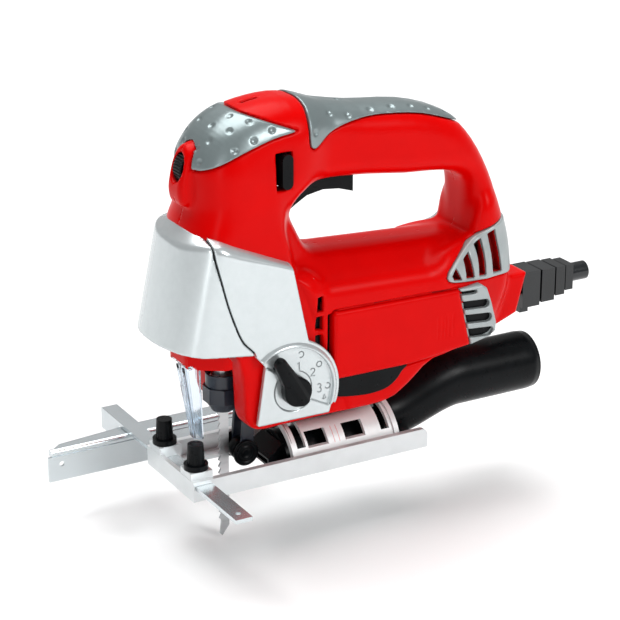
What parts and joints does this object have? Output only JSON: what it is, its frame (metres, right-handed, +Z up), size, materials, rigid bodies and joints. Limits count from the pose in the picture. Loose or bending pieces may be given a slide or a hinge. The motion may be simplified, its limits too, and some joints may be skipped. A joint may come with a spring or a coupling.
{
  "type": "jigsaw",
  "caption": "Corded D-handle jigsaw with a tilting sole, dust tube, rip fence, orbital lever, keyless clamp and a working drive inside.",
  "frame": {"origin": "on the sole's underside, on the axis of the plunger", "axes": "+X back towards the cord, -Y the tool's left, +Z up from the work"},
  "size_m": [0.326, 0.171, 0.253],
  "materials": {
    "red_plastic": "glossy",
    "silver_plastic": "satin",
    "soft_grip": "matt",
    "black_plastic": "satin",
    "clear_plastic": "clear",
    "steel": "satin",
    "white_sheet": "satin",
    "clamp_metal": "satin",
    "blade_steel": "brushed",
    "cast_alloy": "cast",
    "bronze": "satin",
    "copper": "satin",
    "lamination": "satin",
    "board_green": "matt",
    "carbon": "matt",
    "cord_rubber": "matt"
  },
  "bodies": {
    "machine": {"housing_left": "red_plastic", "housing_right": "red_plastic", "front_hood": "silver_plastic", "side_cover_left": "silver_plastic", "side_cover_right": "silver_plastic", "orbital_scale": "silver_plastic", "nose_cap": "soft_grip", "handle_grip": "soft_grip", "motor_panel_left": "red_plastic", "motor_panel_right": "red_plastic", "side_vent_left": "soft_grip", "side_vent_right": "soft_grip", "rear_grille_left": "soft_grip", "rear_grille_right": "soft_grip", "belly_trim_left": "black_plastic", "belly_trim_right": "black_plastic", "inner_shroud": "red_plastic", "switch_body": "black_plastic", "speed_board": "board_green", "gear_case": "cast_alloy", "gear_pin": "steel", "plunger_bushes": "bronze", "stator": "lamination", "field_coils": "copper", "shaft_bearings": "steel", "brush_holders": "bronze", "carbon_brushes": "carbon", "fork_pin": "steel", "bevel_saddle": "black_plastic", "bevel_screws": "steel", "cord_sleeve": "cord_rubber", "cord_clamp": "clamp_metal", "housing_screws": "steel"},
    "gear": {"drive_gear": "bronze", "counterweight": "cast_alloy"},
    "armature": {"armature_shaft": "steel", "rotor_core": "lamination", "commutator": "copper", "cooling_fan": "black_plastic"},
    "ram": {"plunger": "steel", "blade": "blade_steel"},
    "collar": {"blade_clamp": "clamp_metal", "clamp_spring": "steel"},
    "fork": {"roller_fork": "clamp_metal", "roller_pin": "steel"},
    "roller": {"guide_roller": "black_plastic"},
    "lever": {"orbital_lever": "black_plastic"},
    "speed_wheel": {"speed_dial": "black_plastic"},
    "lock": {"lock_button": "black_plastic"},
    "switch_trigger": {"trigger": "black_plastic"},
    "guard": {"blade_guard": "clear_plastic"},
    "sole": {"sole_plate": "white_sheet", "bevel_bracket": "white_sheet", "dust_channel": "black_plastic", "dust_tube": "black_plastic"},
    "guide": {"guide_arm": "white_sheet", "rip_fence": "white_sheet", "fence_bolt": "steel"},
    "screw_left": {"thumb_screw_left": "black_plastic"},
    "screw_right": {"thumb_screw_right": "black_plastic"}
  },
  "joints": [
    {"name": "crank_turn", "type": "hinge", "parent": "machine", "child": "gear", "pos_m": [0.026, 0, 0.1095], "axis": [1, 0, 0], "range_deg": [0, 180]},
    {"name": "armature_turn", "type": "hinge", "parent": "machine", "child": "armature", "pos_m": [0.09, 0, 0.078], "axis": [1, 0, 0], "range_deg": [-1080, 0]},
    {"name": "ram_stroke", "type": "slide", "parent": "machine", "child": "ram", "axis": [0, 0, 1], "range_m": [0, 0.02]},
    {"name": "collar_turn", "type": "hinge", "parent": "ram", "child": "collar", "pos_m": [0, 0, 0.05], "axis": [0, 0, 1], "range_deg": [0, 40], "stiffness_Nm_per_rad": 0.03},
    {"name": "fork_swing", "type": "hinge", "parent": "machine", "child": "fork", "pos_m": [0.015, 0, 0.052], "axis": [0, -1, 0], "range_deg": [0, 3]},
    {"name": "roller_turn", "type": "hinge", "parent": "fork", "child": "roller", "pos_m": [0.0101, 0, 0.0115], "axis": [0, 1, 0], "continuous": true},
    {"name": "orbital_turn", "type": "hinge", "parent": "machine", "child": "lever", "pos_m": [0.026, -0.038, 0.0565], "axis": [0, 1, 0], "range_deg": [0, 99]},
    {"name": "speed_turn", "type": "hinge", "parent": "machine", "child": "speed_wheel", "pos_m": [-0.0145, 0, 0.179], "axis": [0, 1, 0], "range_deg": [0, 300]},
    {"name": "lock_press", "type": "slide", "parent": "machine", "child": "lock", "axis": [0, 1, 0], "range_m": [0, 0.003], "stiffness_N_per_m": 400},
    {"name": "trigger_press", "type": "hinge", "parent": "machine", "child": "switch_trigger", "pos_m": [0.043, 0, 0.158], "axis": [0, -1, 0], "range_deg": [0, 6.4], "stiffness_Nm_per_rad": 1.2, "springref_deg": -2.86},
    {"name": "guard_swing", "type": "hinge", "parent": "machine", "child": "guard", "pos_m": [-0.0246, 0, 0.0708], "axis": [0, 1, 0], "range_deg": [0, 60]},
    {"name": "bevel_tilt", "type": "hinge", "parent": "machine", "child": "sole", "pos_m": [0.05, 0, 0], "axis": [1, 0, 0], "range_deg": [-45, 45]},
    {"name": "guide_slide", "type": "slide", "parent": "sole", "child": "guide", "axis": [0, 1, 0], "range_m": [0, 0.045]},
    {"name": "left_screw_turn", "type": "hinge", "parent": "sole", "child": "screw_left", "pos_m": [-0.027, -0.0195, 0.02], "axis": [0, 0, 1], "range_deg": [0, 360]},
    {"name": "right_screw_turn", "type": "hinge", "parent": "sole", "child": "screw_right", "pos_m": [-0.027, 0.0195, 0.02], "axis": [0, 0, 1], "range_deg": [0, 360]}
  ],
  "couplings": [
    {"joint": "armature_turn", "follows": "crank_turn", "ratio": -6},
    {"joint": "ram_stroke", "follows": "crank_turn", "m_per_rad": 0.0063661},
    {"joint": "fork_swing", "follows": "orbital_turn", "ratio": 0.03}
  ]
}
